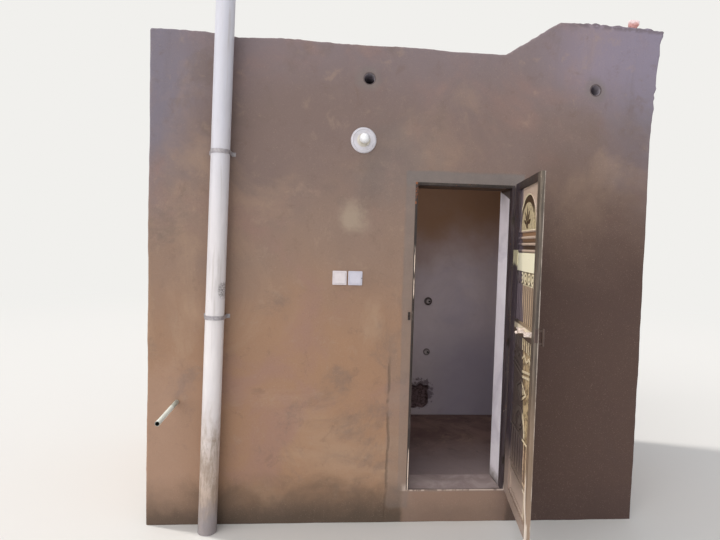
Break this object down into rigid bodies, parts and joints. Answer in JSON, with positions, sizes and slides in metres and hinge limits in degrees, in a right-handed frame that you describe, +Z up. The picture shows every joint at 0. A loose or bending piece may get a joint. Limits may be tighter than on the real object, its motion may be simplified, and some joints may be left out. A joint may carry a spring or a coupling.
{
  "type": "small adobe house with a flat roof and a steel door",
  "caption": "Small one-room flat-roofed house with plastered masonry walls, a worn parapet, a vent pipe and an ornamental steel door that swings outward, with a sliding bolt.",
  "frame": {"origin": "centre of the house's footprint, on the ground", "axes": "+Z up, the front wall with the doorway faces -Y, +X to the right seen from the front"},
  "size_m": [3.154, 2.3693, 3.4504],
  "materials": {
    "earth_plaster": "rough trowelled earth and cement plaster, damp near the ground",
    "cement_floor": "smooth worn cement floor",
    "roof_timber": "plain sawn and round timber",
    "roof_screed": "rough mud and cement screed",
    "white_pipe": "white plastic pipe, stained near the ground",
    "clamp_steel": "dull zinc-coated strap",
    "white_plastic": "white moulded plastic",
    "lamp_glass": "white diffusing globe",
    "frame_paint": "dark paint, chipped and rusty in spots",
    "leaf_paint": "dark grey paint with worn edges",
    "panel_paint": "pale cream and bronze paint, dark in the grooves",
    "bare_steel": "worn steel"
  },
  "bodies": {
    "house": {"front_wall_left": "earth_plaster", "front_wall_right": "earth_plaster", "front_wall_over_door": "earth_plaster", "door_sill": "earth_plaster", "left_wall": "earth_plaster", "right_wall": "earth_plaster", "rear_wall": "earth_plaster", "floor_slab": "cement_floor", "roof_pole_1": "roof_timber", "roof_pole_2": "roof_timber", "roof_pole_3": "roof_timber", "roof_pole_4": "roof_timber", "roof_pole_5": "roof_timber", "roof_boards": "roof_timber", "roof_screed": "roof_screed", "drain_sleeve_left": "white_pipe", "drain_sleeve_right": "white_pipe", "vent_pipe": "white_pipe", "stub_pipe": "white_pipe", "pipe_clamp_upper": "clamp_steel", "pipe_clamp_lower": "clamp_steel", "lamp_base": "white_plastic", "switch_plate_left": "white_plastic", "switch_plate_right": "white_plastic", "wall_outlet_upper": "white_plastic", "wall_outlet_lower": "white_plastic", "lamp_bulb": "lamp_glass", "door_frame_hinge_jamb": "frame_paint", "door_frame_latch_jamb": "frame_paint", "door_frame_head": "frame_paint", "latch_staple": "frame_paint", "hinge_pins": "frame_paint"},
    "door": {"leaf_hinge_stile": "leaf_paint", "leaf_latch_stile": "leaf_paint", "leaf_top_rail": "leaf_paint", "leaf_lock_rail": "leaf_paint", "leaf_bottom_rail": "leaf_paint", "leaf_upper_panel": "panel_paint", "leaf_lower_panel": "panel_paint", "hinge_sleeves": "frame_paint", "pull_handle": "bare_steel", "bolt_guides": "bare_steel"},
    "bolt": {"door_bolt": "bare_steel"}
  },
  "joints": [
    {"name": "door_swing", "type": "hinge", "parent": "house", "child": "door", "pos_m": [0.684, -0.88, 1.181], "axis": [0, 0, 1], "range_deg": [-80.5, 79.5]},
    {"name": "bolt_slide", "type": "slide", "parent": "door", "child": "bolt", "axis": [-0.165, -0.9863, 0], "range_m": [0, 0.024]}
  ]
}
